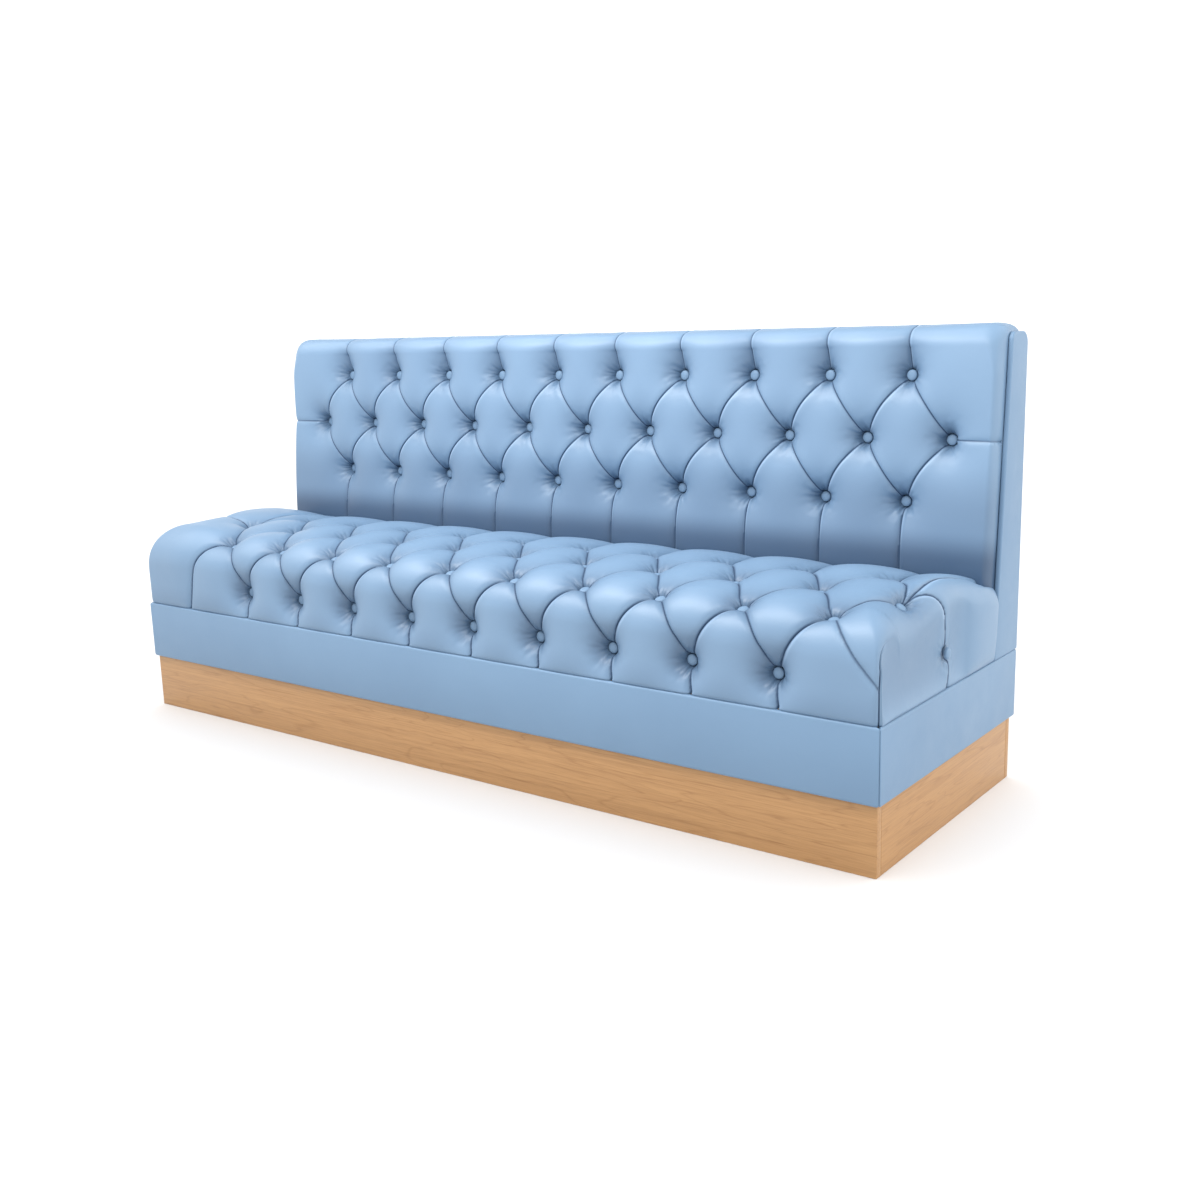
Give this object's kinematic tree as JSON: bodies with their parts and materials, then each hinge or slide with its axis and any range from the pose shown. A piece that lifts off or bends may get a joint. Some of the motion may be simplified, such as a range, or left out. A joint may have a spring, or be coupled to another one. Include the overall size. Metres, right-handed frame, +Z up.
{
  "type": "upholstered banquette bench",
  "caption": "Long deep-buttoned banquette bench with a raked back, a rolled seat, padded fascias and a timber plinth.",
  "frame": {"origin": "on the floor, under the middle of the bench", "axes": "+X along the bench, to the right as seen from the front; +Y to the rear; +Z up"},
  "size_m": [2.1, 0.65, 0.95],
  "materials": {
    "vinyl": "light blue satin vinyl with a fine grain",
    "vinyl_button": "buttons covered in the same vinyl",
    "beech": "clear lacquered beech with a horizontal grain",
    "pine": "planed softwood, not finished",
    "plywood": "plywood, not finished",
    "foam": "upholstery foam",
    "twine": "waxed twine",
    "black_cloth": "black woven cloth over hardboard",
    "steel": "zinc plated steel"
  },
  "bodies": {
    "root": {"plinth_front_board": "beech", "plinth_rear_board": "beech", "plinth_left_board": "beech", "plinth_right_board": "beech", "plinth_cross_rails": "pine", "plinth_cleats": "pine", "plinth_corner_blocks": "pine", "base_front_rail": "pine", "base_rear_rail": "pine", "base_left_rail": "pine", "base_right_rail": "pine", "base_cross_ribs": "pine", "base_corner_blocks": "pine", "seat_deck": "plywood", "fascia_front": "vinyl", "fascia_left": "vinyl", "fascia_right": "vinyl", "seat_front_riser": "plywood", "seat_left_riser": "plywood", "seat_right_riser": "plywood", "seat_foam": "foam", "seat_cover": "vinyl", "seat_buttons": "vinyl_button", "seat_button_ties": "twine", "seat_tie_washers": "steel", "back_bottom_rail": "pine", "back_top_rail": "pine", "back_left_rib": "pine", "back_right_rib": "pine", "back_mid_ribs": "pine", "back_face_board": "plywood", "back_foam": "foam", "back_cover": "vinyl", "back_left_panel": "vinyl", "back_right_panel": "vinyl", "back_rear_panel": "black_cloth", "back_buttons": "vinyl_button", "back_button_ties": "twine", "back_tie_washers": "steel", "base_screws": "steel", "deck_screws": "steel", "back_bolts": "steel", "back_bolt_washers": "steel", "back_bolt_nuts": "steel"}
  },
  "joints": []
}
